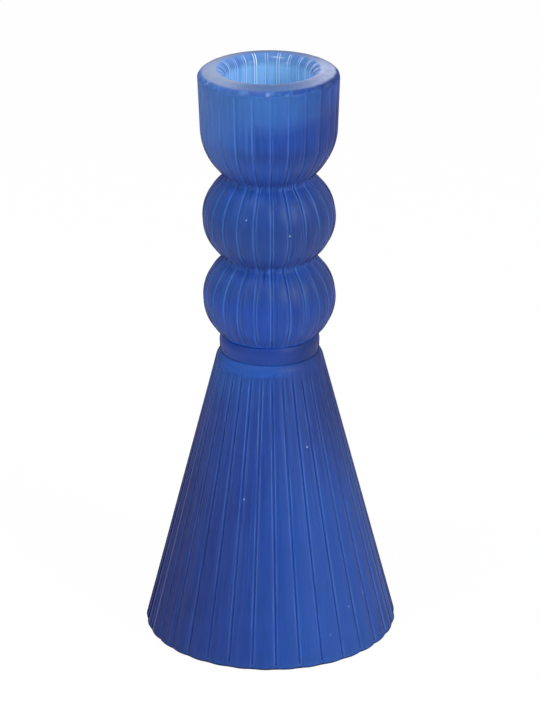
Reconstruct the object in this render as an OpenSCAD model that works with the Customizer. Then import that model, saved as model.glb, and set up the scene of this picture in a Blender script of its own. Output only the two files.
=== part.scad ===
// Reeded glass candlestick in three pressed pieces: a hollow conical foot, a plain
// collar and a knopped stem that ends in the candle cup.
// Millimetres, +Z up. The origin is the centre of the circle that it stands on.

/* [Foot] */
// Radius over the reeds where the straight side meets the table
foot_r = 35; // [31:0.1:42]
// Height of the foot, from the table to the collar
foot_h = 80.9; // [60:0.1:110]
// How far the straight side, carried up to the top, would pass outside the collar's seat
shoulder_w = 0.7; // [0.4:0.1:2]
// Rounding between the side of the foot and its top
shoulder_round = 4.2; // [2:0.1:6]
// Rounding of the edge that it stands on
lip_round = 1; // [0.5:0.1:2]
// Thickness of the wall at the table
foot_wall = 6; // [4:0.1:9]
// Solid glass between the hollow and the top of the foot
foot_crown = 13; // [6:0.5:25]
// Radius of the flat end of the hollow
hollow_top_r = 6.5; // [4:0.1:9]
// Rounding at the end of the hollow
hollow_round = 2; // [0.5:0.1:3]

/* [Collar] */
// Radius of the collar's two flat seats
collar_r = 13.4; // [11:0.1:15]
// Height of the collar
collar_h = 5; // [3:0.1:10]
// How far the collar's side bulges
collar_bulge = 0.2; // [0.1:0.1:1]

/* [Knops] */
// Largest radius of the two knops, over the reeds
knop_r = 18; // [16.5:0.1:22]
// Radius of the knops' rounding from top to bottom
knop_curve = 13.5; // [13:0.1:16]
// Height from the middle of the lower knop to the middle of the upper one
knop_pitch = 22.9; // [18:0.1:25]
// Rounding of the necks above and below the upper knop
neck_round = 1.2; // [0.5:0.1:3]
// Step in from the collar's seat to the reeds at the foot of the stem
stem_step = 0.5; // [0.2:0.1:1.5]

/* [Cup] */
// Radius over the reeds where the cup turns from its bowl into its wall
cup_r = 18.5; // [17:0.1:23]
// Radius of the bowl's rounding from neck to wall
cup_curve = 17.8; // [16:0.1:22]
// Height from the middle of the upper knop to the cup's wall
cup_rise = 25.7; // [23:0.1:29]
// Height of the cup's wall, up to the rounded rim
cup_wall_h = 13.1; // [8:0.1:28]
// How far the wall leans out by the time it reaches the rim
cup_flare = 0.5; // [0:0.1:1.5]
// Height of the rim's rounded outside, from the end of the wall to the crest
rim_rise = 2.4; // [1:0.1:4]
// Width of the flat along the rim's crest
rim_flat = 0.6; // [0.3:0.1:1.5]
// Diameter of the candle's end
candle_d = 22; // [18:0.5:24]
// Room around the candle
candle_gap = 0.5; // [0.2:0.1:1]
// Depth of the socket below the rim's crest
socket_depth = 20; // [14:0.5:30]
// Rounding at the bottom of the socket
socket_round = 1.5; // [0.5:0.1:3]
// Rounding of the socket's mouth, from the crest of the rim inwards
mouth_round = 2.8; // [0.5:0.1:3.5]

/* [Reeds] */
// Number of reeds around the foot
foot_reeds = 33; // [24:1:40]
// Depth of the grooves between the foot's reeds
foot_groove_d = 0.55; // [0.2:0.05:1]
// Width of those grooves at the table
foot_groove_w = 1.7; // [0.8:0.1:2.5]
// Number of reeds around the stem and the cup
stem_reeds = 24; // [16:1:30]
// Depth of the grooves between the stem's reeds
stem_groove_d = 0.55; // [0.2:0.05:1]
// Width of those grooves at the middle of a knop
stem_groove_w = 1.2; // [0.6:0.1:2]
// How far the middle of a foot's reed stands out from its edges
foot_reed_crown = 0.25; // [0.05:0.01:0.4]
// How far the middle of a stem's reed stands out from its edges
stem_reed_crown = 0.12; // [0.05:0.01:0.3]
// Height over which the grooves run out below the rim and below the foot's shoulder
reed_fade = 1.5; // [0.5:0.1:4]
// Turn of the reeds about the axis
reed_turn = 2.4; // [0:0.1:10]

/* [Hidden] */
$fn = 96;

past = 1;          // how far a cut runs past the face that it opens
lip_grooves = 0.6; // share of a groove's depth that goes round the foot's lip
rim_grooves = 0.6; // share of a groove's depth left at the rim, where it runs out to the crest
foot_blue = [0.16, 0.30, 0.63];
collar_blue = [0.14, 0.24, 0.55];
stem_blue = [0.18, 0.33, 0.66];

// Sides are lists of points [radius, height]. A reeded side has a third number at each
// point: the share of a groove's depth that is cut there.

// The foot's straight side, and the roundings at its two ends
foot_corner = [collar_r + shoulder_w, foot_h];
side_lean = atan((foot_r - foot_corner[0]) / foot_h);
side_out = [cos(side_lean), sin(side_lean)];
side_down = [sin(side_lean), -cos(side_lean)];
lip_centre = [foot_r - lip_round * (tan(side_lean) + 1 / cos(side_lean)), lip_round];
shoulder_slide = sqrt(
    2 * shoulder_round * shoulder_w * side_out[0] - pow(shoulder_w * side_out[0], 2)
) - shoulder_w * side_out[1];
shoulder_centre = foot_corner - shoulder_round * side_out + shoulder_slide * side_down;
shoulder_end = direction(shoulder_centre, [collar_r, foot_h]);
reed_end = shoulder_centre[1] + shoulder_round * side_out[1];

// The foot's hollow
hollow_r = foot_r - foot_wall;
hollow_top = foot_h - foot_crown;

// The stem's roundings, each seated on the one below
stem_foot = foot_h + collar_h;
knop_axis_r = knop_r - knop_curve;
knop_seat = acos((collar_r - stem_step - knop_axis_r) / knop_curve);
lower_knop = [knop_axis_r, stem_foot + knop_curve * sin(knop_seat)];
upper_knop = lower_knop + [0, knop_pitch];
bowl = [cup_r - cup_curve, upper_knop[1] + cup_rise];
lower_neck = meeting_point(lower_knop, upper_knop, knop_curve + neck_round, knop_curve + neck_round);
upper_neck = meeting_point(upper_knop, bowl, knop_curve + neck_round, cup_curve + neck_round);

// The cup
wall_foot = [cup_r, bowl[1]];
wall_end = [cup_r + cup_flare, bowl[1] + cup_wall_h];
rim_top = wall_end[1] + rim_rise;
socket_r = candle_d / 2 + candle_gap;
rim_crest = [socket_r + mouth_round + rim_flat, rim_top];
socket_floor = rim_top - socket_depth;

foot_side = concat(
    share(arc(lip_centre, lip_round, -90, 0, 3, true), lip_grooves),
    share(arc(lip_centre, lip_round, 0, side_lean, 1), 1),
    share([on_line([foot_r, 0], foot_corner, reed_end - reed_fade)], 1),
    share(arc(shoulder_centre, shoulder_round, side_lean, shoulder_end, 4, true), 0)
);

stem_side = concat(
    share(arc(lower_knop, knop_curve, -knop_seat, direction(lower_knop, lower_neck), 9, true), 1),
    share(neck(lower_knop, lower_neck, upper_knop), 1),
    share(arc(upper_knop, knop_curve, direction(upper_knop, lower_neck),
        direction(upper_knop, upper_neck), 9), 1),
    share(neck(upper_knop, upper_neck, bowl), 1),
    share(arc(bowl, cup_curve, direction(bowl, upper_neck), 0, 6), 1),
    share([on_line(wall_foot, wall_end, wall_end[1] - reed_fade)], 1),
    rim(6)
);

// Gives every point of a side the same share of the grooves' depth
function share(side, grooves) = [for (p = side) [p[0], p[1], grooves]];

// Points along an arc about centre c. The first is left out unless "whole" is true.
function arc(c, r, from, to, steps, whole = false) = [
    for (i = [whole ? 0 : 1 : steps])
        let (a = from + (to - from) * i / steps)
        c + r * [cos(a), sin(a)]
];

// A quarter of an ellipse from the end of the wall to the crest, where the grooves run out
function rim(steps) = [
    for (i = [0 : steps])
        let (a = 90 * i / steps)
        [
            rim_crest[0] + (wall_end[0] - rim_crest[0]) * cos(a),
            wall_end[1] + rim_rise * sin(a),
            rim_grooves * (1 - sin(a))
        ]
];

// The hollow rounding of a neck, between the rounding below it and the one above it
function neck(below, centre, above) = arc(
    centre, neck_round, 180 + direction(below, centre), 180 + direction(above, centre), 3
);

// Direction from point a to point b, in degrees
function direction(a, b) = atan2(b[1] - a[1], b[0] - a[0]);

// The point at height z on the line from a to b
function on_line(a, b, z) = a + (b - a) * (z - a[1]) / (b[1] - a[1]);

// The point at distance to_a from a and to_b from b, on the side away from the axis
function meeting_point(a, b, to_a, to_b) =
    let (
        apart = norm(b - a),
        along = (to_a * to_a - to_b * to_b + apart * apart) / (2 * apart),
        across = sqrt(to_a * to_a - along * along),
        u = (b - a) / apart
    )
    a + along * u + across * [u[1], -u[0]];

// Across one reed, from one groove to the next: [place, drop below the reed's middle]
function reed_section(groove_d, half_groove, crown) = [
    [0, groove_d],
    [half_groove, crown],
    [0.36, 0],
    [0.64, 0],
    [1 - half_groove, crown]
];

// A groove's half width as a share of the space between two grooves, at radius r
function half_groove(width, reeds, r) = width / 2 * reeds / (2 * PI * r);

// A closed solid of reeded glass: each point of its side becomes a ring
module reeded(side, reeds, section) {
    around = reeds * len(section);
    last = len(side) - 1;
    points = [
        for (p = side)
            for (i = [0 : reeds - 1])
                for (s = section)
                    let (
                        a = -90 + reed_turn + (i + s[0]) * 360 / reeds,
                        r = p[0] - s[1] * p[2]
                    )
                    [r * cos(a), r * sin(a), p[1]]
    ];
    walls = [
        for (k = [0 : last - 1])
            for (i = [0 : around - 1])
                let (
                    low = k * around + i,
                    next = k * around + (i + 1) % around
                )
                each [
                    [low, next + around, next],
                    [low, low + around, next + around]
                ]
    ];
    base = [for (i = [0 : around - 1]) i];
    top = [for (i = [around - 1 : -1 : 0]) last * around + i];
    polyhedron(points, concat([base], walls, [top]));
}

// The foot: reeded outside, smooth inside and open at the table
module cone_foot() {
    color(foot_blue)
    difference() {
        reeded(foot_side, foot_reeds,
            reed_section(foot_groove_d, half_groove(foot_groove_w, foot_reeds, foot_r),
                foot_reed_crown));
        foot_hollow();
    }
}

module foot_hollow() {
    wall_lean = atan((hollow_r - hollow_top_r) / hollow_top);
    rotate_extrude()
        polygon(concat(
            [
                [0, -past],
                [hollow_r + lip_round, -past],
                [hollow_r + lip_round, 0]
            ],
            arc([hollow_r + lip_round, lip_round], lip_round, 270, 180 + wall_lean, 4),
            arc([hollow_top_r - hollow_round, hollow_top - hollow_round],
                hollow_round, wall_lean, 90, 4, true),
            [[0, hollow_top]]
        ));
}

// The plain glass between the foot and the stem
module joining_collar() {
    side_curve = (collar_h * collar_h / 4 + collar_bulge * collar_bulge) / (2 * collar_bulge);
    half_turn = asin(collar_h / 2 / side_curve);
    centre = [collar_r + collar_bulge - side_curve, foot_h + collar_h / 2];
    color(collar_blue)
    rotate_extrude()
        polygon(concat(
            [[0, foot_h]],
            arc(centre, side_curve, -half_turn, half_turn, 8, true),
            [[0, stem_foot]]
        ));
}

// The stem: two knops and the cup, reeded outside, with a smooth socket
module knopped_stem() {
    color(stem_blue)
    difference() {
        reeded(stem_side, stem_reeds,
            reed_section(stem_groove_d, half_groove(stem_groove_w, stem_reeds, knop_r),
                stem_reed_crown));
        candle_socket();
    }
}

module candle_socket() {
    rotate_extrude()
        polygon(concat(
            [[0, socket_floor]],
            arc([socket_r - socket_round, socket_floor + socket_round],
                socket_round, -90, 0, 4, true),
            arc([socket_r + mouth_round, rim_top - mouth_round], mouth_round, 180, 90, 6, true),
            [
                [socket_r + mouth_round, rim_top + past],
                [0, rim_top + past]
            ]
        ));
}

cone_foot();
joining_collar();
knopped_stem();
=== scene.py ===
import math

import bpy
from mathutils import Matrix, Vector


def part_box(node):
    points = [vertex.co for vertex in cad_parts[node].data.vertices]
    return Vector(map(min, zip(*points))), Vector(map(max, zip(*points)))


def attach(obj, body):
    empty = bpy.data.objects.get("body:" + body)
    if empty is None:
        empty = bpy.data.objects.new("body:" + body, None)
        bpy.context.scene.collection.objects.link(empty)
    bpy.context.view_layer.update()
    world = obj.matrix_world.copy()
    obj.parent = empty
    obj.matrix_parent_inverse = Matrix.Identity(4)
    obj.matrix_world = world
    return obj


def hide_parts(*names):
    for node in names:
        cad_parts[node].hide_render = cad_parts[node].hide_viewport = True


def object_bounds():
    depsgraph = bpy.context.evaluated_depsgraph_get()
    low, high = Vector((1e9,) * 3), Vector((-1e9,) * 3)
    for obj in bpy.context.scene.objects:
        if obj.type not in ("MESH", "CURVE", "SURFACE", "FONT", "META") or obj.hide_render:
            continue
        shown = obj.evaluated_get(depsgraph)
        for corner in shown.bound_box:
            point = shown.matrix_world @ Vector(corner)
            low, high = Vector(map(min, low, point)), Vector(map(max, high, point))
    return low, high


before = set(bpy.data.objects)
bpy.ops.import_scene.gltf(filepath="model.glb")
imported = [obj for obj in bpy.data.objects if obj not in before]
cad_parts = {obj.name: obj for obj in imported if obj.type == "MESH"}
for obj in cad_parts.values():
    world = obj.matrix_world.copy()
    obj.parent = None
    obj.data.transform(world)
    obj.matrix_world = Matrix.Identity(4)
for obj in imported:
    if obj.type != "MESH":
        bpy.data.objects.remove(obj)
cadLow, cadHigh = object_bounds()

mm = 0.001
tau = 2 * math.pi
halfTurn = math.pi
quarterTurn = math.pi / 2
sharpAngle = math.radians(50)  # edges that turn by more than this stay sharp
touching = 0.02 * mm  # what is nearer than this to a flat seat counts as part of it
footLow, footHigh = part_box("cone_foot")
collarLow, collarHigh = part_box("joining_collar")
stemLow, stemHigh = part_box("knopped_stem")
print("frame loaded, height", round((cadHigh.z - cadLow.z) / mm, 2), "mm")


def selectOnly(piece):
    bpy.ops.object.select_all(action="DESELECT")
    piece.select_set(True)
    bpy.context.view_layer.objects.active = piece


def startPiece(name):  # one vertex in edit mode, ready to be drawn out
    bpy.ops.object.select_all(action="DESELECT")
    bpy.ops.mesh.primitive_plane_add(size=mm)
    piece = bpy.context.object
    piece.name = piece.data.name = name
    bpy.ops.object.mode_set(mode="EDIT")
    bpy.ops.mesh.select_all(action="SELECT")
    bpy.ops.mesh.merge(type="CENTER")
    return piece


def drawSide(points, turn):  # draws out the selected vertex along [radius, height] points
    places = [Vector((r * math.cos(turn), r * math.sin(turn), z)) for r, z in points]
    bpy.ops.transform.translate(value=places[0])
    for last, place in zip(places, places[1:]):
        bpy.ops.mesh.extrude_region_move(TRANSFORM_OT_translate={"value": place - last})


def spinSide(steps):  # a full turn about the candle's axis, closed and facing outwards
    bpy.ops.mesh.select_all(action="SELECT")
    bpy.ops.mesh.spin(steps=steps, angle=tau, center=(0, 0, 0), axis=(0, 0, 1))
    bpy.ops.mesh.select_all(action="SELECT")
    bpy.ops.mesh.remove_doubles(threshold=0.001 * mm)
    bpy.ops.mesh.normals_make_consistent(inside=False)
    bpy.ops.object.mode_set(mode="OBJECT")


def smoothPiece(piece):
    selectOnly(piece)
    bpy.ops.object.shade_smooth_by_angle(angle=sharpAngle)


def arc(centre, radius, start, end, steps, whole=False):  # leaves out its first point unless whole
    points = []
    for i in range(0 if whole else 1, steps + 1):
        a = start + (end - start) * i / steps
        points.append((centre[0] + radius * math.cos(a), centre[1] + radius * math.sin(a)))
    return points


def line(a, b, steps):  # leaves out its first point
    return [
        (a[0] + (b[0] - a[0]) * i / steps, a[1] + (b[1] - a[1]) * i / steps)
        for i in range(1, steps + 1)
    ]


def direction(a, b):
    return math.atan2(b[1] - a[1], b[0] - a[0])


def meetingPoint(a, b, toA, toB):  # at those distances from a and b, on the outer side
    apart = math.dist(a, b)
    along = (toA**2 - toB**2 + apart**2) / (2 * apart)
    across = math.sqrt(toA**2 - along**2)
    u = ((b[0] - a[0]) / apart, (b[1] - a[1]) / apart)
    return (a[0] + along * u[0] + across * u[1], a[1] + along * u[1] - across * u[0])


def smoothStep(value, low, high):
    t = min(1, max(0, (value - low) / (high - low)))
    return t * t * (3 - 2 * t)


crownCurve = 1.6  # power that rounds a reed from its crown down to its grooves
stepsPerReed = 20  # faces around, for each reed


def cutReeds(piece, reeds, depthAt):
    # depthAt gives the share of a groove's depth at a vertex, from its radius and height
    group = piece.vertex_groups.new(name="reeds")
    halfGroove = reeds["grooveWidth"] / 2 / reeds["atRadius"] * reeds["count"] / tau
    for vertex in piece.data.vertices:
        share = depthAt(math.hypot(vertex.co.x, vertex.co.y), vertex.co.z)
        if share <= 0:
            continue
        place = (math.atan2(vertex.co.y, vertex.co.x) - reeds["turn"]) * reeds["count"] / tau
        offset = abs(place - round(place))
        crown = reeds["crown"] * (1 - 2 * offset) ** crownCurve
        groove = (1 - reeds["crown"]) * math.cos(quarterTurn * min(1, offset / halfGroove)) ** 2
        group.add([vertex.index], share * (crown + groove), "REPLACE")
    cut = piece.modifiers.new("reeds", "DISPLACE")
    cut.vertex_group = group.name
    cut.mid_level = 0
    cut.strength = -reeds["depth"]
    selectOnly(piece)
    bpy.ops.object.modifier_apply(modifier=cut.name)
    piece.vertex_groups.clear()


foot = {
    "shoulderWidth": 0.7 * mm,  # from the collar's seat out to the straight side's line
    "shoulderRound": 4.2 * mm,
    "lipRound": 1.0 * mm,
    "radius": 34.98 * mm,  # where the straight side would meet the table
    "wall": 6.0 * mm,
    "crown": 13.0 * mm,  # solid glass above the hollow
    "hollowTop": 6.5 * mm,  # radius of the hollow's flat end
    "hollowRound": 2.0 * mm,
    "seat": 13.4 * mm,  # radius of the face that the collar sits on
    "flatRing": 0.5,  # share of a flat face's radius at which a ring of edges runs
    "reeds": {
        "count": 33,
        "turn": math.radians(-90 + 2.4),
        "depth": 0.55 * mm,
        "crown": 0.6,  # share of that depth that is the reed's own rounding
        "grooveWidth": 1.5 * mm,
        "atRadius": 35.0 * mm,
        "reach": 2.2 * mm,  # how far in from the side's line the grooves still cut
        "endFade": (1.5 * mm, 0.3 * mm),  # from below the shoulder's start to above it
        "narrowShare": 0.35,  # of the depth, that doesn't shrink with the radius
        "lipShare": 0.55,  # of the depth, at the table
        "lipFade": 1.2 * mm,
    },
}


def makeFoot():
    top = footHigh.z
    corner = (foot["seat"] + foot["shoulderWidth"], top)
    lean = math.atan((foot["radius"] - corner[0]) / top)
    out = (math.cos(lean), math.sin(lean))
    down = (math.sin(lean), -math.cos(lean))
    lip = foot["lipRound"]
    lipCentre = (foot["radius"] - lip * (math.tan(lean) + 1 / math.cos(lean)), lip)
    s, w = foot["shoulderRound"], foot["shoulderWidth"]
    slide = math.sqrt(2 * s * w * out[0] - (w * out[0]) ** 2) - w * out[1]
    shoulder = tuple(corner[i] - s * out[i] + slide * down[i] for i in (0, 1))
    shoulderEnd = direction(shoulder, (foot["seat"], top))
    reedEnd = shoulder[1] + s * out[1]
    sideStart = (lipCentre[0] + lip * out[0], lipCentre[1] + lip * out[1])
    sideEnd = (shoulder[0] + s * out[0], reedEnd)

    hollowTop = top - foot["crown"]
    hollowRadius = foot["radius"] - foot["wall"]
    h = foot["hollowRound"]
    wallLean = math.atan((hollowRadius - foot["hollowTop"]) / hollowTop)
    roof = (foot["hollowTop"] - h, hollowTop - h)
    innerLip = (hollowRadius + lip, lip)

    side = [(0, hollowTop), (roof[0] * foot["flatRing"], hollowTop)]
    side += arc(roof, h, quarterTurn, wallLean, steps=8, whole=True)
    wallEnd = arc(innerLip, lip, halfTurn + wallLean, halfTurn + quarterTurn, steps=6, whole=True)
    side += line(side[-1], wallEnd[0], steps=16)
    side += wallEnd[1:]
    side += line(wallEnd[-1], (lipCentre[0], 0), steps=3)
    side += arc(lipCentre, lip, -quarterTurn, lean, steps=8)
    side += line(sideStart, sideEnd, steps=36)
    side += arc(shoulder, s, lean, shoulderEnd, steps=10)
    side += [(foot["seat"] * foot["flatRing"], top), (0, top)]

    reeds = foot["reeds"]
    piece = startPiece("foot")
    drawSide(side, reeds["turn"])
    spinSide(reeds["count"] * stepsPerReed)

    def depthAt(radius, height):
        outerRadius = foot["radius"] + (corner[0] - foot["radius"]) * height / top
        if radius < outerRadius - reeds["reach"] or height < touching:
            return 0
        below, above = reeds["endFade"]
        fade = 1 - smoothStep(height, reedEnd - below, reedEnd + above)
        fade *= reeds["narrowShare"] + (1 - reeds["narrowShare"]) * radius / foot["radius"]
        lipFade = smoothStep(height, 0, reeds["lipFade"])
        return fade * (reeds["lipShare"] + (1 - reeds["lipShare"]) * lipFade)

    cutReeds(piece, reeds, depthAt)
    smoothPiece(piece)
    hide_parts("cone_foot")
    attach(piece, "root")
    print("foot", len(piece.data.polygons), "faces")
    return piece


collar = {
    "seat": 13.4 * mm,
    "bulge": 0.2 * mm,
    "upperRound": (0.7 * mm, 2.0 * mm),  # inwards and downwards
    "lowerRound": (0.3 * mm, 0.7 * mm),
    "film": 0.03 * mm,  # of the joint, so that glass doesn't share a face with glass
    "flatRing": 0.6,  # as on the foot
    "steps": 160,  # around
    "roundSteps": 8,
}


def makeCollar():
    low, high = collarLow.z + collar["film"], collarHigh.z - collar["film"]
    height = high - low
    curve = (height**2 / 4 + collar["bulge"] ** 2) / (2 * collar["bulge"])
    centre = (collar["seat"] + collar["bulge"] - curve, (low + high) / 2)

    def bulging(z, inwards):
        return (centre[0] + math.sqrt(curve**2 - (z - centre[1]) ** 2) - inwards, z)

    turns = [quarterTurn * i / collar["roundSteps"] for i in range(collar["roundSteps"] + 1)]
    wide, tall = collar["lowerRound"]
    lower = [bulging(low + tall * (1 - math.cos(t)), wide * (1 - math.sin(t))) for t in turns]
    wide, tall = collar["upperRound"]
    upper = [bulging(high - tall * (1 - math.sin(t)), wide * (1 - math.cos(t))) for t in turns]
    ring = collar["seat"] * collar["flatRing"]
    side = [(0, low), (ring, low)] + lower
    side += line(lower[-1], upper[0], steps=6)[:-1] + upper
    side += [(ring, high), (0, high)]
    piece = startPiece("collar")
    drawSide(side, turn=0)
    spinSide(collar["steps"])
    smoothPiece(piece)
    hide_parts("joining_collar")
    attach(piece, "root")
    print("collar", len(piece.data.polygons), "faces")
    return piece


stem = {
    "knopRadius": 18.0 * mm,
    "knopCurve": 13.5 * mm,
    "knopPitch": 22.9 * mm,
    "neckRound": 1.2 * mm,
    "baseRadius": 12.9 * mm,  # of the face that sits on the collar
    "cupRadius": 18.5 * mm,
    "cupCurve": 17.8 * mm,
    "cupRise": 25.7 * mm,  # from the upper knop's middle to where the cup's wall starts
    "cupFlare": 0.5 * mm,
    "rimDome": 2.4 * mm,  # from the top of the wall up to the crest of the rim
    "socketRadius": 11.5 * mm,
    "socketDepth": 20.0 * mm,
    "socketRound": 1.5 * mm,
    "mouthRound": 2.8 * mm,
    "rimFlat": 0.6 * mm,
    "seatRing": 0.6,  # share of the seat's radius at which a ring of edges runs
    "floorRing": 0.4,
    "rimSteps": 14,
    "reeds": {
        "count": 24,
        "turn": math.radians(-90 + 2.4),
        "depth": 0.38 * mm,
        "crown": 0.5,
        "rimShare": 0.6,  # of the depth, left where the rim begins
        "rimFade": 1.5 * mm,
        "grooveWidth": 1.1 * mm,
        "atRadius": 18.0 * mm,
        "clear": 0.1 * mm,  # kept uncut around the socket's edge
    },
}


def stemCentres():  # of the curves of the two knops, the two necks and the cup's bowl
    k, n, c = stem["knopCurve"], stem["neckRound"], stem["cupCurve"]
    axis = stem["knopRadius"] - k
    seatTurn = math.acos((stem["baseRadius"] - axis) / k)
    lowerKnop = (axis, stemLow.z + k * math.sin(seatTurn))
    upperKnop = (axis, lowerKnop[1] + stem["knopPitch"])
    bowl = (stem["cupRadius"] - c, upperKnop[1] + stem["cupRise"])
    lowerNeck = meetingPoint(lowerKnop, upperKnop, k + n, k + n)
    upperNeck = meetingPoint(upperKnop, bowl, k + n, c + n)
    return lowerKnop, lowerNeck, upperKnop, upperNeck, bowl


def makeStem():
    low, top = stemLow.z, stemHigh.z
    k, n, c = stem["knopCurve"], stem["neckRound"], stem["cupCurve"]
    lowerKnop, lowerNeck, upperKnop, upperNeck, bowl = stemCentres()
    seatTurn = math.asin((lowerKnop[1] - low) / k)
    wallEnd = (stem["cupRadius"] + stem["cupFlare"], top - stem["rimDome"])
    mouth = stem["mouthRound"]
    mouthCentre = (stem["socketRadius"] + mouth, top - mouth)
    floor = top - stem["socketDepth"]
    s = stem["socketRound"]
    floorCentre = (stem["socketRadius"] - s, floor + s)

    knopEnd = direction(lowerKnop, lowerNeck)
    nextKnopStart = direction(upperKnop, lowerNeck)
    nextKnopEnd = direction(upperKnop, upperNeck)
    bowlStart = direction(bowl, upperNeck)
    side = [(0, low), (stem["baseRadius"] * stem["seatRing"], low)]
    side += arc(lowerKnop, k, -seatTurn, knopEnd, steps=22, whole=True)
    side += arc(lowerNeck, n, halfTurn + knopEnd, halfTurn + nextKnopStart, steps=6)
    side += arc(upperKnop, k, nextKnopStart, nextKnopEnd, steps=22)
    side += arc(upperNeck, n, halfTurn + nextKnopEnd, halfTurn + bowlStart, steps=6)
    side += arc(bowl, c, bowlStart, 0, steps=14)
    side += line(side[-1], wallEnd, steps=12)
    crest = mouthCentre[0] + stem["rimFlat"]
    for i in range(1, stem["rimSteps"] + 1):
        turn = quarterTurn * i / stem["rimSteps"]
        side.append((
            crest + (wallEnd[0] - crest) * math.cos(turn),
            wallEnd[1] + stem["rimDome"] * math.sin(turn),
        ))
    side += arc(mouthCentre, mouth, quarterTurn, halfTurn, steps=10)
    side += line(side[-1], (stem["socketRadius"], floorCentre[1]), steps=8)
    side += arc(floorCentre, s, 0, -quarterTurn, steps=5)
    side += [(stem["socketRadius"] * stem["floorRing"], floor), (0, floor)]

    reeds = stem["reeds"]
    piece = startPiece("stem")
    drawSide(side, reeds["turn"])
    spinSide(reeds["count"] * stepsPerReed)

    def depthAt(radius, height):
        if height < low + touching:
            return 0
        if height > floor - reeds["clear"] and radius < mouthCentre[0] + reeds["clear"]:
            return 0
        if height > wallEnd[1]:
            return reeds["rimShare"] * (1 - (height - wallEnd[1]) / stem["rimDome"])
        fade = smoothStep(height, wallEnd[1] - reeds["rimFade"], wallEnd[1])
        return 1 - (1 - reeds["rimShare"]) * fade

    cutReeds(piece, reeds, depthAt)
    smoothPiece(piece)
    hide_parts("knopped_stem")
    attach(piece, "root")
    print("stem", len(piece.data.polygons), "faces")
    return piece


class Wire:  # a shader socket that does arithmetic
    def __init__(self, recipe, socket):
        self.recipe = recipe
        self.socket = socket

    def math(self, operation, *others):
        values = dict(enumerate((self,) + others))
        return self.recipe.wire(self.recipe.add("ShaderNodeMath", {"operation": operation}, values))

    def __add__(self, other):
        return self.math("ADD", other)

    def __radd__(self, other):
        return self.math("ADD", other)

    def __sub__(self, other):
        return self.math("SUBTRACT", other)

    def __rsub__(self, other):
        return (self * -1) + other

    def __mul__(self, other):
        return self.math("MULTIPLY", other)

    def __rmul__(self, other):
        return self.math("MULTIPLY", other)

    def __truediv__(self, other):
        return self.math("DIVIDE", other)

    def atMost(self, other):
        return self.math("MINIMUM", other)

    def atLeast(self, other):
        return self.math("MAXIMUM", other)

    def raised(self, least):  # from least to 1 in place of 0 to 1
        return self * (1 - least) + least


class Recipe:  # the nodes of one material, or of the world
    def __init__(self, owner, output="ShaderNodeOutputMaterial"):
        owner.use_nodes = True
        self.owner = owner
        self.tree = owner.node_tree
        self.tree.nodes.clear()
        self.out = self.add(output)

    def add(self, kind, settings=None, sockets=None):
        node = self.tree.nodes.new(kind)
        for key, value in (settings or {}).items():
            setattr(node, key, value)
        for key, value in (sockets or {}).items():
            self.feed(node.inputs[key], value)
        return node

    def feed(self, socket, value):
        if isinstance(value, Wire):
            value = value.socket
        if isinstance(value, bpy.types.NodeSocket):
            self.tree.links.new(value, socket)
        else:
            socket.default_value = value

    def wire(self, node, output=0):
        return Wire(self, node.outputs[output])

    def split(self, vector):
        parts = self.add("ShaderNodeSeparateXYZ", sockets={"Vector": vector})
        return [self.wire(parts, i) for i in range(3)]

    def vector(self, x, y, z):
        return self.add("ShaderNodeCombineXYZ", sockets={"X": x, "Y": y, "Z": z}).outputs[0]

    def findPlace(self):  # in mm, and how far to the right and the back, from -1 to 1
        here = self.add("ShaderNodeTexCoord").outputs["Object"]
        self.x, self.y, self.z = [part * (1 / mm) for part in self.split(here)]
        self.radius = (self.x * self.x + self.y * self.y).math("SQRT")
        self.right = self.x / self.radius
        self.back = self.y / self.radius

    def step(self, value, start, full):  # smooth, from 0 at start to 1 at full
        node = self.add(
            "ShaderNodeMapRange",
            {"interpolation_type": "SMOOTHSTEP"},
            {"Value": value, "From Min": start, "From Max": full},
        )
        return self.wire(node)

    def band(self, value, start, full, fade, end):  # 1 from full to fade, 0 before start and after end
        return self.step(value, start, full) * (1 - self.step(value, fade, end))

    def mix(self, first, second, share):
        node = self.add("ShaderNodeMix", {"data_type": "RGBA"}, {"Factor": share, 6: first, 7: second})
        return node.outputs[2]

    def coats(self, colour, *coats):  # each is a colour and the share of it laid over what is there
        for coat, share in coats:
            colour = self.mix(colour, coat, share)
        return colour

    def noise(self, vector, scale, detail=2, roughness=0.5):
        node = self.add(
            "ShaderNodeTexNoise",
            sockets={"Vector": vector, "Scale": scale, "Detail": detail, "Roughness": roughness},
        )
        return self.wire(node)

    def principled(self, sockets):
        return self.add("ShaderNodeBsdfPrincipled", sockets=sockets).outputs[0]

    def blend(self, first, second, share):
        return self.add("ShaderNodeMixShader", sockets={0: share, 1: first, 2: second}).outputs[0]


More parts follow.
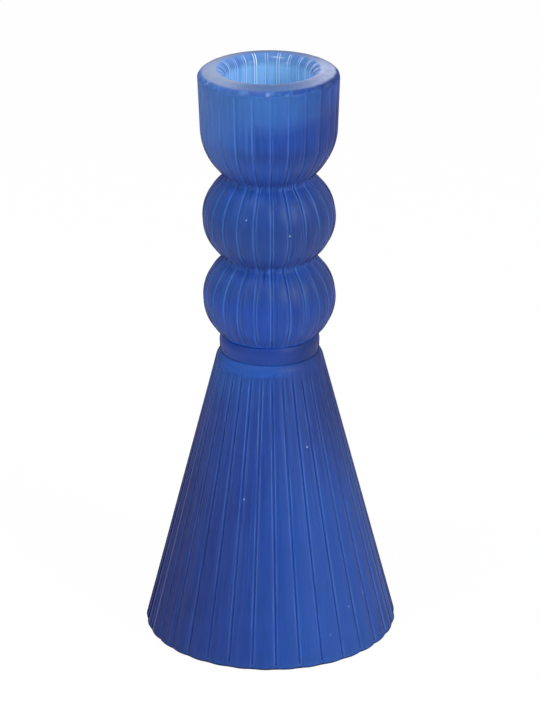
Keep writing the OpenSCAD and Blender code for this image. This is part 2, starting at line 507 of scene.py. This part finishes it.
class GlassRecipe(Recipe):  # the glass of one piece, with masks for the places that its values name
    def __init__(self, name, values, low, high):
        super().__init__(bpy.data.materials.new(name))
        self.values = values
        self.low = low / mm
        self.high = high / mm
        self.findPlace()
        self.here = self.vector(self.x, self.y, self.z)

    def below(self, name):  # by mm below the top of the piece
        start, full = self.values["below"][name]
        return self.step(self.z, self.high - start, self.high - full)

    def above(self, name):  # by mm above the bottom of the piece
        start, full = self.values["above"][name]
        return self.step(self.z, self.low + start, self.low + full)

    def outward(self, name):  # by mm from the candle's axis
        return self.step(self.radius, *self.values["outward"][name])

    def aside(self, name):  # from -1 at the left to 1 at the right
        return self.step(self.right, *self.values["aside"][name])

    def facingUp(self, start, full):
        normal = self.add("ShaderNodeNewGeometry").outputs["Normal"]
        return self.step(self.split(normal)[2], start, full)

    def mottle(self, scale, detail=3, roughness=0.6):
        return self.noise(self.here, scale, detail, roughness)

    def streaks(self, around, along, detail=1, roughness=0.5, shift=0, rise=0):
        # drawn out up and down the side: more around is finer, more along is longer
        path = self.vector(self.right * around + shift, self.back * around, (self.z + rise) / along)
        return self.noise(path, 1.0, detail, roughness)

    def threads(self, around, along, rise=0):  # fine light or dark lines between the grooves
        return self.step(self.streaks(around, along, rise=rise), *glass["threadBand"])

    def clouds(self, around, along, scale):
        fine = self.streaks(around, along, detail=2, roughness=0.55)
        broad = self.mottle(scale, detail=2, roughness=0.5)
        share = glass["fineClouds"]
        return self.step(fine * share + broad * (1 - share), *glass["cloudBand"])

    def flecks(self):  # small bubbles near the surface
        spacing, size = glass["fleckSpacing"], glass["fleckSize"]
        cells = self.add("ShaderNodeTexVoronoi", sockets={"Vector": self.here, "Scale": 1 / spacing})
        return 1 - self.step(self.wire(cells, "Distance"), size * 0.5 / spacing, size / spacing)

    def acrossReed(self, reeds):  # mm from the nearest groove's middle, signed
        place = (self.y.math("ARCTAN2", self.x) - reeds["turn"]) * (reeds["count"] / tau)
        return ((place + 0.5).math("FRACT") - 0.5) * self.radius * (tau / reeds["count"])

    def grooveLines(self, across, centre):
        # painted shade in a groove's dark middle and two painted highlights beside it, each fading in
        # and out on its own
        away = across.math("ABSOLUTE")
        width = glass["lineWidth"]
        dark = 1 - self.step(away, glass["lineDark"] * 0.25, glass["lineDark"])
        grooveHighlight = self.band(away, centre - width, centre, centre, centre + width)
        eachSide = across.math("SIGN") * glass["lineShift"]
        faded = self.streaks(around=5, along=14, detail=2, roughness=0.6, shift=eachSide)
        return dark, grooveHighlight * self.step(faded, *glass["lineFade"]).raised(0.3)


glass = {
    "roughness": 0.5,
    "ior": 1.45,
    "shine": 0.18,
    "skinRoughness": 0.75,
    "skinShine": 0.15,
    "skinShare": 0.3,
    "skin": (0.012, 0.086, 0.490, 1),
    "skinDark": (0.003, 0.030, 0.240, 1),
    "skinLight": (0.110, 0.260, 0.720, 1),
    "frostAndSheen": (0.42, 0.47, 0.66, 1),  # colour of the etched rim, laid paler at the rim's sides as a painted reflection
    "grain": 2.2,  # of the etching
    "grainStrength": 0.12,
    "grainDepth": 0.05 * mm,
    "lineDark": 0.3,  # mm from a groove's middle to the edge of its dark line of painted shade
    "lineWidth": 0.16,
    "lineShare": 0.34,
    "lineFade": (0.3, 0.6),
    "lineShift": 40,  # sets a groove's two painted highlight lines apart in the noise
    "threads": 0.55,
    "darkThreads": 0.35,
    "darkThreadRise": 300,  # sets the dark threads apart from the light ones in the noise
    "threadBand": (0.56, 0.72),
    "cloudBand": (0.35, 0.8),
    "fineClouds": 0.6,  # share of the clouds that is fine streaks
    "spotBand": (0.42, 0.6),
    "fleck": (0.55, 0.64, 0.95, 1),
    "fleckSpacing": 8,
    "fleckSize": 0.36,
    "outline": (0.002, 0.003, 0.014, 1),  # painted shade: a dark line where the glass turns out of sight
    "outlineBand": (0.80, 0.88),
    "outlineShare": 1.6,
    "gleam": (0.120, 0.160, 0.380, 1),  # painted highlight: a light line just inside the outline
    "gleamBand": (0.64, 0.72, 0.72, 0.80),
    "gleamShare": 0.7,
    "edgeBand": (0.3, 0.8),
    "edgeShare": 0.55,
}


def glassShader(recipe, colour, skinColour, share, edgeShare, roughness):
    # clear rough glass under a share of satin skin, with painted shade where it turns away from view
    grain = recipe.mottle(glass["grain"])
    bump = recipe.add("ShaderNodeBump", sockets={
        "Height": grain,
        "Strength": glass["grainStrength"],
        "Distance": glass["grainDepth"],
    })
    normal = bump.outputs[0]
    clear = recipe.principled({
        "Base Color": colour,
        "Roughness": roughness,
        "IOR": glass["ior"],
        "Specular IOR Level": glass["shine"],
        "Transmission Weight": 1.0,
        "Normal": normal,
    })
    skin = recipe.principled({
        "Base Color": skinColour,
        "Roughness": glass["skinRoughness"],
        "Specular IOR Level": glass["skinShine"],
        "Normal": normal,
    })
    turned = recipe.wire(recipe.add("ShaderNodeLayerWeight", sockets={"Blend": 0.5}), "Facing")
    outline = recipe.step(turned, *glass["outlineBand"])
    gleam = recipe.band(turned, *glass["gleamBand"]) * glass["gleamShare"]
    deep = recipe.principled({
        "Base Color": recipe.coats(
            recipe.values["edge"], (glass["gleam"], gleam), (glass["outline"], outline)
        ),
        "Roughness": glass["roughness"],
        "Specular IOR Level": 0.0,
        "Normal": normal,
    })
    depth = (recipe.step(turned, *glass["edgeBand"]) + outline * glass["outlineShare"]) * edgeShare
    whole = recipe.blend(recipe.blend(clear, skin, share), deep, depth)
    recipe.feed(recipe.out.inputs["Surface"], whole)
    absorbs = recipe.values["absorbs"]
    most = max(absorbs)
    body = recipe.add("ShaderNodeVolumeAbsorption", sockets={
        "Color": tuple(1 - colourShare / most for colourShare in absorbs) + (1,),
        "Density": most / mm,
    })
    recipe.feed(recipe.out.inputs["Volume"], body.outputs[0])


footGlass = {
    "edge": (0.021, 0.020, 0.105, 1),  # painted shade where the glass turns away from view, in the colour of deep glass
    "tint": (0.12, 0.33, 0.85, 1),
    "topTint": (0.36, 0.70, 1.0, 1),
    "darkTint": (0.03, 0.10, 0.40, 1),
    "lightTint": (0.55, 0.85, 1.0, 1),
    "hollowTint": (0.90, 0.95, 1.0, 1),
    "litSkin": (0.010, 0.120, 0.600, 1),
    # painted light on the shoulder and the upper left of the cone
    "shoulderSkin": (0.018, 0.125, 0.580, 1),
    "creaseSkin": (0.035, 0.170, 0.700, 1),  # painted light beside the collar and along its lower edge, where light gathers
    "absorbs": (0.200, 0.080, 0.030),  # of red, green and blue, per mm
    "line": 0.5,  # mm from a groove's middle to the painted highlight lines beside it
    "slant": 0.9,  # how fast the left side darkens
    "outerWall": (3, 2),  # mm inside the straight side, where the inner wall's look ends
    "crease": (0.2, 0.9),  # mm out from the collar's seat
    "topTintFrom": 0.25,  # share of the height
    "lower": (0.45, 0.85),
    "waist": (0.5, 0.85),
    "below": {  # where each place starts and where it is full, here and in the lists after it
        "reedEnd": (5.5, 2.6),
        "shoulder": (3.6, 2.4),
        "upper": (16, 4),
    },
    "above": {
        "edge": (0.4, 1.0),
        "reedStart": (1.3, 1.8),
        "shaded": (5, 30),
        "threads": (10, 55),
        "grooves": (20, 50),
        "turnedLeft": (20, 40),
        "turnedRight": (4, 12),
    },
    "aside": {
        "shoulder": (0.0, 0.7),
        "upper": (0.6, -0.5),
        "waist": (0.35, 0.95),
        "lit": (-0.35, 0.45),
        "turnedLeft": (-0.7, -0.98),
        "turnedRight": (0.7, 0.98),
    },
}


def makeFootGlass():
    recipe = GlassRecipe("footGlass", footGlass, footLow.z, footHigh.z)
    below, above, aside = recipe.below, recipe.above, recipe.aside
    z, radius, top = recipe.z, recipe.radius, recipe.high

    # the parts of the foot
    lean = (foot["radius"] - foot["seat"] - foot["shoulderWidth"]) / footHigh.z
    start, full = [foot["radius"] / mm - inward for inward in footGlass["outerWall"]]
    outside = recipe.step(radius + z * lean, start, full)
    # painted shade: a dark line along the foot's bottom edge
    edge = outside * (1 - above("edge"))
    # the shoulder, where painted light lies, fading out on its right
    shoulder = below("shoulder") * outside * (1 - aside("shoulder") * 0.8)
    start, full = [collar["seat"] / mm + outward for outward in footGlass["crease"]]
    crease = (1 - recipe.step(radius, start, full)) * shoulder * 0.8

    # light and shade
    upper = below("upper") * aside("upper") * outside
    lowerStart, lowerEnd = footGlass["lower"]
    lower = 1 - recipe.step(z, top * lowerStart, top * lowerEnd)
    shaded = (recipe.right * -footGlass["slant"]).atLeast(0) * lower * outside
    shaded = shaded * (1.35 - above("shaded") * 0.35)
    waistStart, waistEnd = footGlass["waist"]
    shaded = shaded + aside("waist") * recipe.step(z, top * waistStart, top * waistEnd) * 0.6
    lit = aside("lit") * lower * outside
    turnedAway = aside("turnedLeft") * (1 - above("turnedLeft"))
    turnedAway = (turnedAway + aside("turnedRight") * (1 - above("turnedRight"))) * outside

    # lines of painted shade and highlight at the grooves, threads and clouds
    across = recipe.acrossReed(foot["reeds"])
    groove, grooveHighlight = recipe.grooveLines(across, footGlass["line"])
    reeded = outside * (1 - below("reedEnd")) * above("reedStart")
    groove = groove * reeded * (1 - above("grooves") * 0.5)
    grooveHighlight = grooveHighlight * reeded * (1 - shaded * 0.6)
    thread = recipe.threads(around=62, along=40) * outside * glass["threads"]
    thread = thread * above("threads").raised(0.25)
    darkThread = recipe.threads(around=55, along=30, rise=glass["darkThreadRise"]) * outside
    darkThread = darkThread * glass["darkThreads"] * above("threads").raised(0.4)
    cloudy = recipe.clouds(around=30, along=16, scale=0.09) * outside
    specks = recipe.flecks() * outside

    dark, light = footGlass["darkTint"], footGlass["lightTint"]
    colour = recipe.coats(
        footGlass["tint"],
        (footGlass["topTint"], recipe.step(z, top * footGlass["topTintFrom"], top)),
        (dark, (cloudy * 0.6 + shaded * 0.6).atMost(1)),
        (light, (thread + lit * 0.2).atMost(1)),
        (dark, groove.atLeast(edge)),
        (light, grooveHighlight),
    )
    colour = recipe.mix(footGlass["hollowTint"], colour, outside)
    skin = recipe.coats(
        glass["skin"],
        (glass["skinDark"], (cloudy * 0.4 + shaded * 0.7 + darkThread).atMost(1)),
        (footGlass["litSkin"], lit),
        (footGlass["shoulderSkin"], shoulder.atLeast(upper)),
        (footGlass["creaseSkin"], crease),
        (glass["skinLight"], thread * 0.5),
        (glass["skinDark"], turnedAway * 0.6),
        (glass["skinDark"], groove.atLeast(edge)),
        (glass["skinLight"], grooveHighlight),
        (glass["outline"], edge),
        (glass["fleck"], specks),
    )
    lines = groove.atLeast(edge).atLeast(grooveHighlight) * glass["lineShare"]
    share = lines + shoulder * 0.16 + upper * 0.04 + edge * 0.6 + turnedAway * 0.12 + specks * 0.2
    # the share of painted edge shade, more on the shaded left and less on the lit right
    edgeShare = outside * (shaded * 0.6 - lit * 0.2 + 1) * glass["edgeShare"]
    glassShader(recipe, colour, skin, share + glass["skinShare"], edgeShare, glass["roughness"])
    return recipe.owner


collarGlass = {
    "edge": (0.045, 0.040, 0.130, 1),
    "tint": (0.36, 0.62, 1.0, 1),
    "skin": (0.012, 0.110, 0.740, 1),
    "absorbs": (0.170, 0.062, 0.024),
    "above": {
        "lower": (0.2, 0.9),
        "upper": (3.6, 4.6),
    },
    "aside": {"shaded": (0.1, 0.8)},
}


def makeCollarGlass():
    recipe = GlassRecipe("collarGlass", collarGlass, collarLow.z, collarHigh.z)
    # painted light along the collar's lower edge and painted shade on its right, with lighter spots at
    # its top
    lower = 1 - recipe.above("lower")
    upper = recipe.above("upper") * recipe.step(recipe.mottle(1.1), *glass["spotBand"])
    shaded = recipe.aside("shaded")
    colour = recipe.mix(collarGlass["tint"], footGlass["darkTint"], shaded * 0.8)
    skin = recipe.coats(
        collarGlass["skin"],
        (glass["skinDark"], shaded * 0.9),
        (footGlass["creaseSkin"], lower * (0.8 - shaded * 0.5)),
        (glass["skinLight"], upper * 0.2),
    )
    share = lower * 0.15 + upper * 0.1 + shaded * 0.1 + glass["skinShare"]
    glassShader(recipe, colour, skin, share, glass["edgeShare"] * 0.65, glass["roughness"])
    return recipe.owner


stemGlass = {
    "edge": (0.052, 0.046, 0.165, 1),
    "tint": (0.55, 0.82, 1.0, 1),
    "cupTint": (0.85, 1.0, 1.0, 1),
    "darkTint": (0.12, 0.32, 0.75, 1),
    "lightTint": (0.85, 1.0, 1.0, 1),
    "socketTint": (0.95, 0.95, 1.0, 1),
    # painted shade at the back of the mouth
    "backTint": (0.22, 0.45, 0.82, 1),
    "cupSkin": (0.045, 0.150, 0.460, 1),
    "neckSkin": (0.014, 0.095, 0.680, 1),
    "knopSkin": (0.010, 0.115, 0.740, 1),  # lighter blue, for the lower knop, and painted light at the cup's right top and the bowl's lower left
    "seatSkin": (0.030, 0.165, 0.730, 1),  # light caught where the knop meets the collar
    # painted light: the socket's wall laid lighter, as if lit through the thin glass
    "socketSkin": (0.30, 0.62, 1.0, 1),
    # painted highlight lines in the socket's wall
    "socketLight": (0.70, 0.88, 1.0, 1),
    "lipSkin": (0.10, 0.23, 0.54, 1),
    "rimBlue": (0.105, 0.158, 0.300, 1),  # of the rim's front and back
    "rimShade": (0.260, 0.320, 0.460, 1),  # of its left
    "absorbs": (0.170, 0.062, 0.024),
    "line": 0.42,
    "slant": 1.1,  # how fast the right side darkens
    "socketGloss": 0.35,  # taken off the roughness inside the socket
    "innerLine": 0.32,  # mm from a groove's middle to the light line inside the socket
    "innerLineBand": (0.04, 0.15),
    "rightOfLine": (-0.1, 0.1),  # mm across a reed, from a groove's middle
    "foldBand": (-1.3, -0.3, 0.0, 0.3),
    "panelSlope": (-2.0, 2.0),
    "strongLines": (0.38, 0.6),  # from these levels of noise a line or panel shows, and shows fully
    "dimPanels": (0.45, 0.6),
    "brinkDark": (0.40, 0.52),
    "brinkLight": (0.30, 0.40),
    "rimFacing": (0.5, 0.95),  # how far up the glass faces, from -1 to 1
    "edgeFacing": (-0.4, 0.0),
    "knopDrop": 2,  # mm from the lower knop's middle down to its clearest part
    "knopReach": (3, 8),  # mm up and down from there
    "neckReach": (1, 4.5),  # mm up and down from a neck
    "backBand": (0.1, 0.8),  # from -1 at the front to 1 at the back
    "below": {
        "rim": (1.12, 0.45),
        "brink": (2.1, 1.6),
        "brinkEnd": (0.8, 0.4),
        "reedEnd": (2.6, 1.4),
        "lip": (3.4, 1.4),
        "back": (4, 2),
        "plainTop": (12, 3),
        "rightTop": (16, 5),
        "cup": (19, 3),
        "socket": (21, 19.5),
        "under": (24, 18),
        "underEnd": (14, 8),
        "bowlBase": (29, 26),
        "bowlBaseEnd": (22, 18),
        "lit": (29, 10),
        "leftSide": (30, 20),
        "bowl": (34, 14),
    },
    "above": {
        "seat": (0.2, 1.4),
        "root": (2, 5),
        "shaded": (2, 12),
    },
    "outward": {
        "mouth": (13.6, 15.2),
        "rim": (12.8, 14.4),
        "back": (11.9, 13.4),
    },
    "aside": {
        "shaded": (0.3, 0.9),
        "lit": (0.4, -0.2),
        "under": (-0.7, -0.1),
        "rightTop": (0.7, 0.95),
        "leftSide": (-0.3, -0.9),
        "bowlBase": (-1.0, -0.7),
        "bowlBaseEnd": (-0.1, 0.5),
        "rimLeft": (-0.3, -0.8),
        "rimRight": (0.3, 0.8),
    },
    "skinShares": {  # what each place adds to the skin's share
        "lit": 0.12,
        "under": 0.2,
        "back": 0.15,
        "leftSide": 0.12,
        "rightTop": 0.1,
        "bowlBase": 0.05,
        "mottled": 0.15,
        "necks": 0.1,
        "knop": 0.07,
        "root": 0.1,
        "seat": 0.25,
        "specks": 0.2,
        "wall": -0.08,
        "brink": 0.35,
    },
    "rimShares": {"plain": 0.35, "flank": 0.2, "right": 0.19},
    "socketShares": {"plain": 0.29, "line": 0.3, "fold": 0.3},
}


def makeStemGlass():
    recipe = GlassRecipe("stemGlass", stemGlass, stemLow.z, stemHigh.z)
    below, above, outward, aside = recipe.below, recipe.above, recipe.outward, recipe.aside
    z, right = recipe.z, recipe.right

    # the parts of the stem
    inside = (1 - outward("mouth")) * below("socket")
    reeded = 1 - below("reedEnd")
    cup = below("cup")
    bowl = below("bowl")
    rim = below("rim") * recipe.facingUp(*stemGlass["rimFacing"]) * outward("rim")
    rim = rim * (recipe.mottle(0.8) * 0.6 + 0.6)
    # the back of the mouth, where painted shade lies and the rim's painted reflection is weaker
    behind = recipe.step(recipe.back, *stemGlass["backBand"]) * outward("back")
    lowerKnop, lowerNeck, _, upperNeck, _ = [point[1] / mm for point in stemCentres()]
    necks = 1 - recipe.step((z - lowerNeck).math("ABSOLUTE"), *stemGlass["neckReach"])
    necks = necks + 1 - recipe.step((z - upperNeck).math("ABSOLUTE"), *stemGlass["neckReach"])
    knopHeight = lowerKnop - stemGlass["knopDrop"]
    knop = 1 - recipe.step((z - knopHeight).math("ABSOLUTE"), *stemGlass["knopReach"])
    root = 1 - above("root")
    seat = 1 - above("seat")
    brink = below("brink") * (1 - below("brinkEnd"))

    # light and shade
    flank = right * right
    shaded = (right * stemGlass["slant"]).atLeast(0) * bowl.raised(0.8)
    shaded = shaded + aside("shaded") * (1 - above("shaded")) * 0.5
    under = below("under") * (1 - below("underEnd")) * aside("under")
    lit = aside("lit") * below("lit") * (1 - under * 0.9)
    rightTop = aside("rightTop") * below("rightTop") * reeded
    leftSide = aside("leftSide") * below("leftSide")
    bowlBase = below("bowlBase") * (1 - below("bowlBaseEnd"))
    bowlBase = bowlBase * (1 - aside("bowlBaseEnd")) * aside("bowlBase")

    # lines of painted shade and highlight at the grooves, threads, clouds and spots
    across = recipe.acrossReed(stem["reeds"])
    groove, grooveHighlight = recipe.grooveLines(across, stemGlass["line"])
    groove = groove * reeded * 0.15
    grooveHighlight = grooveHighlight * reeded * (1 - recipe.step(across, *stemGlass["rightOfLine"]) * bowl * 0.7)
    thread = recipe.threads(around=52, along=22) * reeded * glass["threads"]
    darkThread = recipe.threads(around=36, along=22, rise=glass["darkThreadRise"])
    darkThread = darkThread * reeded * glass["darkThreads"]
    cloudy = recipe.clouds(around=20, along=14, scale=0.1)
    specks = recipe.flecks() * (1 - inside)
    spots = recipe.step(recipe.mottle(0.9), *glass["spotBand"])
    mottled = necks * (1 - spots * 0.6)
    short = recipe.streaks(around=50, along=5, detail=2, roughness=0.55)
    crowded = recipe.step(short, *glass["spotBand"])
    patches = recipe.mottle(0.35, detail=2)
    # random dark and light patches along the reeds' upper ends; the light ones are painted highlights
    brinkDark = brink * recipe.step(patches, *stemGlass["brinkDark"])
    brinkLight = brink * (1 - recipe.step(patches, *stemGlass["brinkLight"]))

    # the socket, painted lighter, with the reeds' backs showing in its wall as painted light lines and
    # painted shade in folds and panels
    strong = recipe.step(recipe.streaks(around=9, along=40), *stemGlass["strongLines"])
    panel = recipe.step(recipe.streaks(around=14, along=40), *stemGlass["dimPanels"])
    fromLine = (across.math("ABSOLUTE") - stemGlass["innerLine"]).math("ABSOLUTE")
    innerLine = (1 - recipe.step(fromLine, *stemGlass["innerLineBand"])) * strong.raised(0.2)
    fold = recipe.band(across, *stemGlass["foldBand"])
    dim = (panel * 0.25 + fold * (flank * 0.2 + 0.12)).atMost(1)
    acrossPanel = recipe.step(across, *stemGlass["panelSlope"])
    socketColour = recipe.mix(stemGlass["socketTint"], stemGlass["darkTint"], acrossPanel * 0.2)
    socketSkin = recipe.coats(
        stemGlass["socketSkin"],
        (stemGlass["lipSkin"], below("lip") * inside),
        (glass["skin"], dim),
        (stemGlass["socketLight"], innerLine),
    )
    # the rim's etched skin, paler at its sides as a painted reflection, with painted shade on its left
    # and less of the reflection at its back
    rimSkin = recipe.coats(
        recipe.mix(stemGlass["rimBlue"], glass["frostAndSheen"], flank),
        (stemGlass["rimShade"], aside("rimLeft")),
        (stemGlass["rimBlue"], behind * 0.6),
    )

    colour = recipe.coats(
        stemGlass["tint"],
        (stemGlass["cupTint"], cup),
        (stemGlass["darkTint"], (cloudy * 0.6 + shaded * 0.5 + under * 0.8).atMost(1)),
        (stemGlass["lightTint"], (thread + lit * 0.25 + leftSide * 0.4).atMost(1)),
        (stemGlass["darkTint"], groove),
        (stemGlass["lightTint"], grooveHighlight),
        (socketColour, inside),
        (stemGlass["backTint"], behind * below("back")),
    )
    skin = recipe.coats(
        glass["skin"],
        (stemGlass["knopSkin"], knop),
        (stemGlass["cupSkin"], cup),
        (stemGlass["knopSkin"], bowlBase * 0.65),
        (stemGlass["neckSkin"], mottled),
        (glass["skinDark"], under * 0.65),
        (glass["skinDark"], necks * crowded * 0.8),
        (glass["skinLight"], necks * (1 - crowded) * 0.25),
        (glass["skinDark"], brinkDark * 0.9),
        (glass["frostAndSheen"], brinkLight * 0.5),
        (glass["skinDark"], (cloudy * 0.4 + shaded * 0.6 + darkThread).atMost(1)),
        (stemGlass["knopSkin"], rightTop * 0.7),
        (glass["skinLight"], (thread * 0.5 + lit * 0.25 + leftSide * 0.35).atMost(1)),
        (glass["skinDark"], groove),
        (glass["skinLight"], grooveHighlight),
        (stemGlass["seatSkin"], seat.atLeast(root * 0.6) * (0.9 - spots * 0.4)),
        (rimSkin, rim),
        (glass["fleck"], specks * (1 - rim)),
        (socketSkin, inside * (1 - rim)),
    )

    places = {
        "lit": lit,
        "under": under,
        "back": behind,
        "leftSide": leftSide,
        "rightTop": rightTop,
        "bowlBase": bowlBase,
        "mottled": mottled,
        "necks": necks,
        "knop": knop,
        "root": root,
        "seat": seat,
        "specks": specks,
        "wall": cup * (1 - inside),
        "brink": (brinkDark + brinkLight) * (1 - inside),
    }
    rimShares, socketShares = stemGlass["rimShares"], stemGlass["socketShares"]
    # the rim's sides and right take a larger share of the skin, for its painted reflection and light
    onRim = flank * rimShares["flank"] + rimShares["plain"] + aside("rimRight") * rimShares["right"]
    inSocket = innerLine * socketShares["line"] + fold * flank * socketShares["fold"]
    lines = groove.atLeast(grooveHighlight) * glass["lineShare"] * (1 - inside)
    share = rim * onRim + inside * (inSocket + socketShares["plain"]) + lines + glass["skinShare"]
    for name, amount in stemGlass["skinShares"].items():
        share = share + places[name] * amount

    # the share of painted edge shade: a little less where the glass faces down, much less near the
    # top, and less where light is painted
    away = recipe.facingUp(*stemGlass["edgeFacing"]).raised(0.9) * (1 - below("plainTop") * 0.8)
    edgeShare = away * (1 - lit * 0.6 - leftSide * 0.3 - seat).atLeast(0) * glass["edgeShare"]
    roughness = glass["roughness"] - inside * stemGlass["socketGloss"]
    glassShader(recipe, colour, skin, share, edgeShare * (1 - inside), roughness)
    return recipe.owner


def dress(piece, material):
    piece.data.materials.clear()
    piece.data.materials.append(material)


dress(makeFoot(), makeFootGlass())
dress(makeCollar(), makeCollarGlass())
dress(makeStem(), makeStemGlass())
print("pieces dressed")

studio = {
    "floorSize": 8.0,
    "floorWhite": (0.86, 0.86, 0.86, 1),
    "floorGrey": (0.3, 0.3, 0.3, 1),
    "paperNear": 0.6,  # from here out the floor turns from white to grey
    "paperFar": 1.2,
    "floorGlow": 0.96,  # share of the floor that the camera sees as plain white
    "frontLight": 0.25,
    "backLight": 0.85,
    "lightRise": (-0.5, 0.8),  # from where at the front to where at the back it grows
    "lightSlant": 0.45,  # how much lighter it is from the right
    "lamps": {  # place and power
        "rightLamp": ((0.85, -0.85, 0.75), 10),
        "topLamp": ((-0.30, -0.30, 1.35), 9),
        "leftLamp": ((-0.95, -0.75, 0.60), 3),
    },
    "lampSize": 0.5,
    "lampAim": (0, 0, 0.08),
}
view = {
    "place": (0.0001, -0.9564, 0.4645),
    "tilt": 67.96,
    "roll": -0.22,
    "lens": 189.2,
    "sensor": 36,
    "nearest": 0.05,
}
white = (1, 1, 1, 1)


def makeFloor():
    bpy.ops.object.select_all(action="DESELECT")
    bpy.ops.mesh.primitive_plane_add(size=studio["floorSize"], location=(0, 0, cadLow.z))
    floor = bpy.context.object
    floor.name = "floor"
    bpy.ops.object.transform_apply(location=True, rotation=True, scale=True)
    recipe = Recipe(bpy.data.materials.new("floorPaper"))
    recipe.findPlace()
    far = recipe.step(recipe.radius * mm, studio["paperNear"], studio["paperFar"])
    shade = recipe.mix(studio["floorWhite"], studio["floorGrey"], far)
    paper = recipe.add("ShaderNodeBsdfDiffuse", sockets={"Color": shade}).outputs[0]
    glow = recipe.add("ShaderNodeEmission", sockets={"Color": white, "Strength": 1.0}).outputs[0]
    seen = recipe.wire(recipe.add("ShaderNodeLightPath"), "Is Camera Ray")
    whole = recipe.blend(paper, glow, seen * studio["floorGlow"])
    recipe.feed(recipe.out.inputs["Surface"], whole)
    dress(floor, recipe.owner)


def makeWorld():  # lighter from behind, and plain white where the camera sees it
    world = bpy.data.worlds.new("studioWorld")
    bpy.context.scene.world = world
    recipe = Recipe(world, "ShaderNodeOutputWorld")
    right, back = recipe.split(recipe.add("ShaderNodeTexCoord").outputs["Generated"])[:2]
    rise = recipe.step(right * studio["lightSlant"] + back, *studio["lightRise"])
    level = rise * (studio["backLight"] - studio["frontLight"]) + studio["frontLight"]
    light = recipe.add("ShaderNodeBackground", sockets={"Color": white, "Strength": level})
    plain = recipe.add("ShaderNodeBackground", sockets={"Color": white, "Strength": 1.0})
    ray = recipe.add("ShaderNodeLightPath")
    seen = recipe.wire(ray, "Is Camera Ray").atLeast(ray.outputs["Is Transmission Ray"])
    whole = recipe.blend(light.outputs[0], plain.outputs[0], seen)
    recipe.feed(recipe.out.inputs["Surface"], whole)


def makeLamp(name, place, power):
    bpy.ops.object.light_add(type="AREA", location=place)
    lamp = bpy.context.object
    lamp.name = name
    lamp.data.energy = power
    lamp.data.shape = "DISK"
    lamp.data.size = studio["lampSize"]
    aim = Vector(studio["lampAim"]) - Vector(place)
    lamp.rotation_euler = aim.to_track_quat("-Z", "Y").to_euler()


def makeCamera():
    bpy.ops.object.camera_add(location=view["place"], rotation=(math.radians(view["tilt"]), 0, 0))
    camera = bpy.context.object
    camera.rotation_euler.rotate_axis("Z", math.radians(view["roll"]))
    camera.data.lens = view["lens"]
    camera.data.sensor_width = view["sensor"]
    camera.data.clip_start = view["nearest"]
    bpy.context.scene.camera = camera


makeFloor()
makeWorld()
for name, (place, power) in studio["lamps"].items():
    makeLamp(name, place, power)
makeCamera()
bpy.context.scene.view_settings.view_transform = "Standard"
print("stage set")
